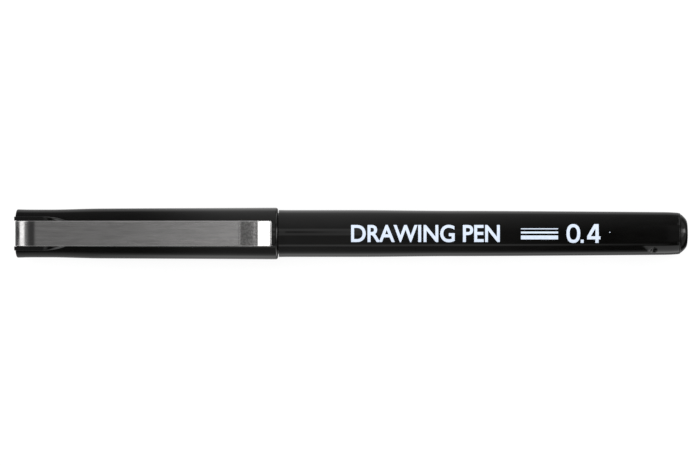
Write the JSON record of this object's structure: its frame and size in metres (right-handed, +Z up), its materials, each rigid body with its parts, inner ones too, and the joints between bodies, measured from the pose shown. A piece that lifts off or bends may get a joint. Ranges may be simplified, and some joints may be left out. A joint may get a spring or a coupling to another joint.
{
  "type": "technical pen",
  "caption": "Capped fibre-tip drawing pen with a tapered round barrel, a push-on cap with a bent steel strip clip, and a plugged tail.",
  "frame": {"origin": "middle of the pen's box, on the surface it lies on, cap closed", "axes": "+X along the pen from the cap's closed end to the tail plug, +Y across the pen, +Z up with the clip on top"},
  "size_m": [0.136, 0.0104, 0.0132],
  "materials": {
    "barrel_plastic": "moulded black polypropylene, polished",
    "section_plastic": "moulded black, semi-gloss",
    "holder_plastic": "moulded dark, satin",
    "sleeve_steel": "drawn stainless tube",
    "nib_fibre": "ink-stained extruded fibre",
    "ink_fibre": "ink-soaked fibre bundle",
    "wrap_film": "thin clear film",
    "plug_plastic": "moulded black polypropylene, polished",
    "cap_plastic": "moulded black polypropylene, polished",
    "liner_plastic": "moulded soft polyethylene",
    "clip_steel": "lengthwise brushed stainless strip"
  },
  "bodies": {
    "pen": {"barrel": "barrel_plastic", "front_section": "section_plastic", "nib_holder": "holder_plastic", "nib_sleeve": "sleeve_steel", "nib": "nib_fibre", "ink_reservoir": "ink_fibre", "reservoir_wrap": "wrap_film", "tail_plug": "plug_plastic"},
    "cap_liner": {"inner_cap": "liner_plastic"},
    "cap": {"cap_shell": "cap_plastic"},
    "clip": {"clip": "clip_steel"}
  },
  "joints": [
    {"name": "cap_pull", "type": "slide", "parent": "pen", "child": "cap_liner", "axis": [-1, 0, 0], "range_m": [0, 0.06]},
    {"name": "cap_turn", "type": "hinge", "parent": "cap_liner", "child": "cap", "pos_m": [-0.04, 0, 0.00525], "axis": [1, 0, 0], "continuous": true},
    {"name": "clip_flex", "type": "hinge", "parent": "cap", "child": "clip", "pos_m": [-0.0675, 0, 0.00615], "axis": [0, -1, 0], "range_deg": [0, 3.5], "stiffness_Nm_per_rad": 1.5, "springref_deg": -1.15}
  ]
}
